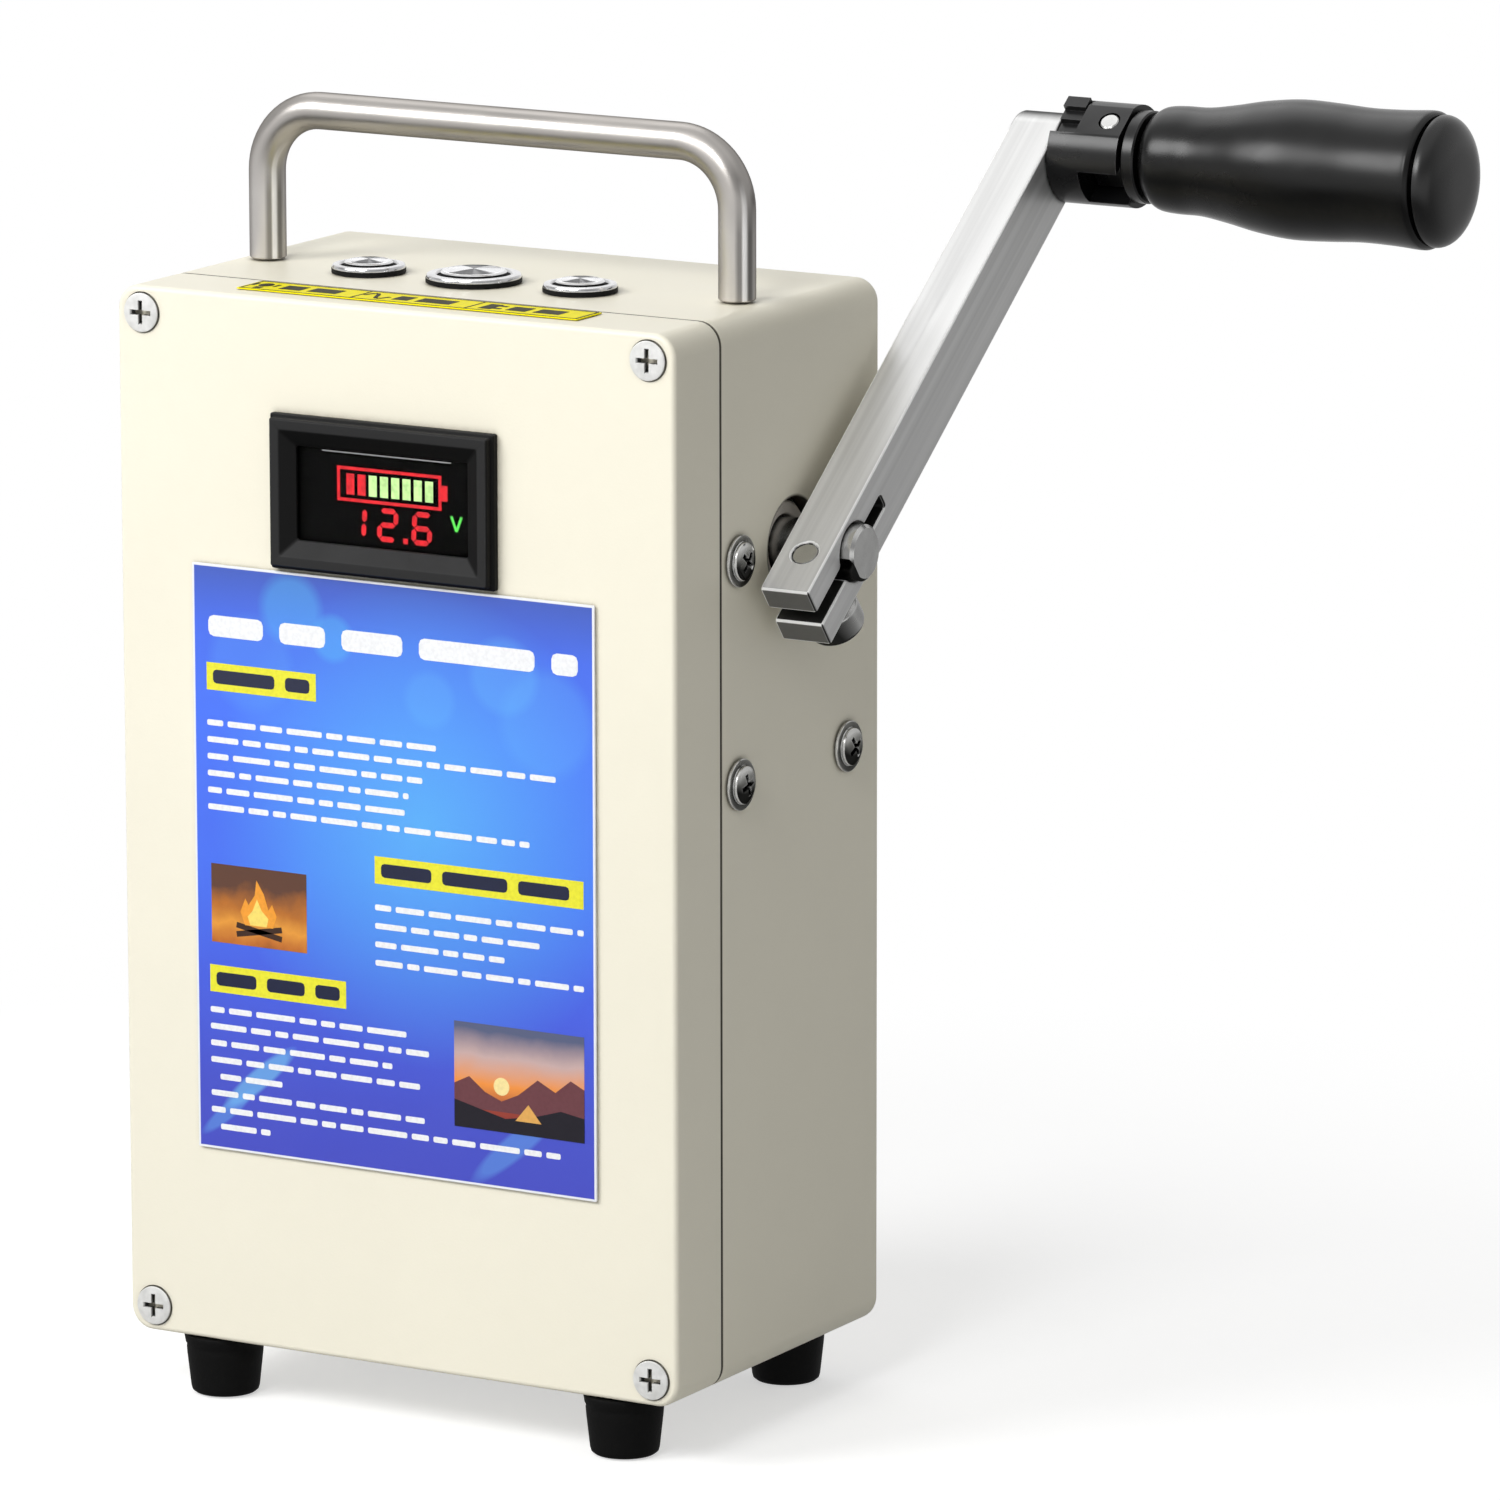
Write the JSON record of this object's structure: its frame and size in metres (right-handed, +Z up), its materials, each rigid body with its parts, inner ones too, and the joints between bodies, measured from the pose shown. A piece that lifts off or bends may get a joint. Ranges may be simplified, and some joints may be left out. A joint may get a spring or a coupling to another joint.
{
  "type": "hand crank generator",
  "caption": "Portable hand crank generator: boxed battery pack and geared generator with side crank, carry handle, panel meter and push switches.",
  "frame": {"origin": "centre of the case's underside, between the feet", "axes": "+X towards the crank side, -Y towards the meter and label, +Z up"},
  "size_m": [0.219, 0.141, 0.2445],
  "materials": {
    "cream_plastic": "moulded, satin",
    "black_rubber": "moulded rubber",
    "zinc_steel": "zinc plated",
    "stainless": "satin stainless",
    "black_plastic": "fine satin",
    "display_glass": "clear dark window",
    "label_blue": "printed film",
    "label_yellow": "printed film",
    "bright_chrome": "polished",
    "brushed_aluminium": "brushed along its length",
    "gloss_black": "polished",
    "bronze": "sintered",
    "cast_alloy": "die cast",
    "gear_steel": "machined",
    "copper_iron": "wound laminations",
    "pack_wrap": "shrink wrap",
    "board_green": "solder mask",
    "clear_lens": "clear"
  },
  "bodies": {
    "case": {"case_body": "cream_plastic", "case_lid": "cream_plastic", "lid_gasket": "black_rubber", "foot_1": "black_rubber", "foot_2": "black_rubber", "foot_3": "black_rubber", "foot_4": "black_rubber", "lid_screw_1": "zinc_steel", "lid_screw_2": "zinc_steel", "lid_screw_3": "zinc_steel", "lid_screw_4": "zinc_steel", "foot_screw_1": "zinc_steel", "foot_screw_2": "zinc_steel", "foot_screw_3": "zinc_steel", "foot_screw_4": "zinc_steel", "handle_screw_left": "zinc_steel", "handle_screw_right": "zinc_steel", "side_screw_1": "zinc_steel", "side_screw_2": "zinc_steel", "side_screw_3": "zinc_steel", "side_screw_4": "zinc_steel", "generator_can": "zinc_steel", "carry_handle": "stainless", "idler_axle": "stainless", "meter_bezel": "black_plastic", "meter_display": "black_plastic", "ac_outlet": "black_plastic", "usb_socket": "black_plastic", "charge_jack": "black_plastic", "meter_window": "display_glass", "front_label": "label_blue", "switch_label": "label_yellow", "light_switch": "bright_chrome", "outlet_switch": "bright_chrome", "usb_switch": "bright_chrome", "lamp_bezel": "bright_chrome", "shaft_bush": "bronze", "gearbox_housing": "cast_alloy", "gearbox_cover": "cast_alloy", "generator_stator": "copper_iron", "battery_pack": "pack_wrap", "inverter_board": "board_green", "lamp_lens": "clear_lens"},
    "crank": {"crank_arm": "brushed_aluminium", "clamp_bolt": "stainless", "drive_shaft": "stainless", "main_gear": "gear_steel", "grip_bracket": "gloss_black", "bracket_bolt": "stainless", "cross_pin": "bright_chrome", "grip_spindle": "gloss_black", "spindle_screw": "zinc_steel"},
    "grip": {"grip_sleeve": "gloss_black", "grip_cap": "gloss_black"},
    "idler": {"idler_gear": "gear_steel"},
    "rotor": {"generator_rotor": "gear_steel"},
    "light_key": {"light_button": "bright_chrome"},
    "outlet_key": {"outlet_button": "bright_chrome"},
    "usb_key": {"usb_button": "bright_chrome"}
  },
  "joints": [
    {"name": "crank_turn", "type": "hinge", "parent": "case", "child": "crank", "pos_m": [0.06, 0.0047, 0.1547], "axis": [1, 0, 0], "continuous": true},
    {"name": "idler_turn", "type": "hinge", "parent": "case", "child": "idler", "pos_m": [0.044, 0.0047, 0.1367], "axis": [1, 0, 0], "continuous": true},
    {"name": "rotor_turn", "type": "hinge", "parent": "case", "child": "rotor", "pos_m": [0.022, 0.0047, 0.1187], "axis": [1, 0, 0], "continuous": true},
    {"name": "grip_spin", "type": "hinge", "parent": "crank", "child": "grip", "pos_m": [0.12, 0.08688, 0.21844], "axis": [1, 0, 0], "continuous": true},
    {"name": "light_push", "type": "slide", "parent": "case", "child": "light_key", "axis": [0, 0, -1], "range_m": [0, 0.0015], "stiffness_N_per_m": 1500},
    {"name": "outlet_push", "type": "slide", "parent": "case", "child": "outlet_key", "axis": [0, 0, -1], "range_m": [0, 0.0015], "stiffness_N_per_m": 1500},
    {"name": "usb_push", "type": "slide", "parent": "case", "child": "usb_key", "axis": [0, 0, -1], "range_m": [0, 0.0015], "stiffness_N_per_m": 1500}
  ],
  "couplings": [
    {"joint": "idler_turn", "follows": "crank_turn", "ratio": -4},
    {"joint": "rotor_turn", "follows": "crank_turn", "ratio": 16}
  ]
}
